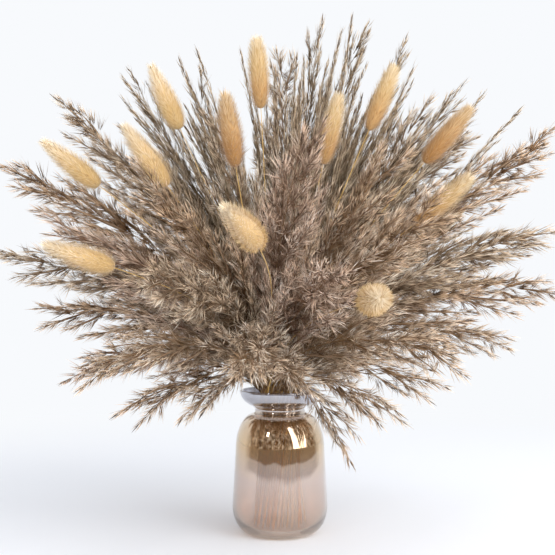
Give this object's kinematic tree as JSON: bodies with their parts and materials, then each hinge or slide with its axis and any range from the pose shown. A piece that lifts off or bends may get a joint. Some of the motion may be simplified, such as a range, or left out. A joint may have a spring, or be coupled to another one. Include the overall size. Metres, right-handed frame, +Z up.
{
  "type": "dried grass bouquet in a glass vase",
  "caption": "Dried bouquet of fluffy reed plumes and bunny tail grass fanning out of a small amber lustre glass bottle vase.",
  "frame": {"origin": "middle of the vase's flat underside, on the surface that the vase stands on", "axes": "+Z up along the vase's axis; -Y towards the bouquet's front, the side with the most bunny tails; +X to the right as seen from the front"},
  "size_m": [0.4606, 0.4328, 0.4378],
  "materials": {
    "lustre_glass": "amber glass with a thin mirror lustre",
    "reed_plume": "dried fluffy grass plume, matt",
    "bunny_tail": "dried soft bristly seed head, matt with a pale sheen"
  },
  "bodies": {
    "root": {"vase": "lustre_glass", "reed_plume_01": "reed_plume", "reed_plume_02": "reed_plume", "reed_plume_03": "reed_plume", "reed_plume_04": "reed_plume", "reed_plume_05": "reed_plume", "reed_plume_06": "reed_plume", "reed_plume_07": "reed_plume", "reed_plume_08": "reed_plume", "reed_plume_09": "reed_plume", "reed_plume_10": "reed_plume", "reed_plume_11": "reed_plume", "reed_plume_12": "reed_plume", "reed_plume_13": "reed_plume", "reed_plume_14": "reed_plume", "reed_plume_15": "reed_plume", "reed_plume_16": "reed_plume", "reed_plume_17": "reed_plume", "reed_plume_18": "reed_plume", "reed_plume_19": "reed_plume", "reed_plume_20": "reed_plume", "reed_plume_21": "reed_plume", "reed_plume_22": "reed_plume", "reed_plume_23": "reed_plume", "reed_plume_24": "reed_plume", "reed_plume_25": "reed_plume", "reed_plume_26": "reed_plume", "reed_plume_27": "reed_plume", "reed_plume_28": "reed_plume", "reed_plume_29": "reed_plume", "reed_plume_30": "reed_plume", "reed_plume_31": "reed_plume", "reed_plume_32": "reed_plume", "reed_plume_33": "reed_plume", "reed_plume_34": "reed_plume", "reed_plume_35": "reed_plume", "reed_plume_36": "reed_plume", "reed_plume_37": "reed_plume", "reed_plume_38": "reed_plume", "reed_plume_39": "reed_plume", "reed_plume_40": "reed_plume", "reed_plume_41": "reed_plume", "reed_plume_42": "reed_plume", "reed_plume_43": "reed_plume", "reed_plume_44": "reed_plume", "reed_plume_45": "reed_plume", "bunny_tail_01": "bunny_tail", "bunny_tail_02": "bunny_tail", "bunny_tail_03": "bunny_tail", "bunny_tail_04": "bunny_tail", "bunny_tail_05": "bunny_tail", "bunny_tail_06": "bunny_tail", "bunny_tail_07": "bunny_tail", "bunny_tail_08": "bunny_tail", "bunny_tail_09": "bunny_tail", "bunny_tail_10": "bunny_tail", "bunny_tail_11": "bunny_tail", "bunny_tail_12": "bunny_tail", "bunny_tail_13": "bunny_tail", "bunny_tail_14": "bunny_tail"}
  },
  "joints": []
}
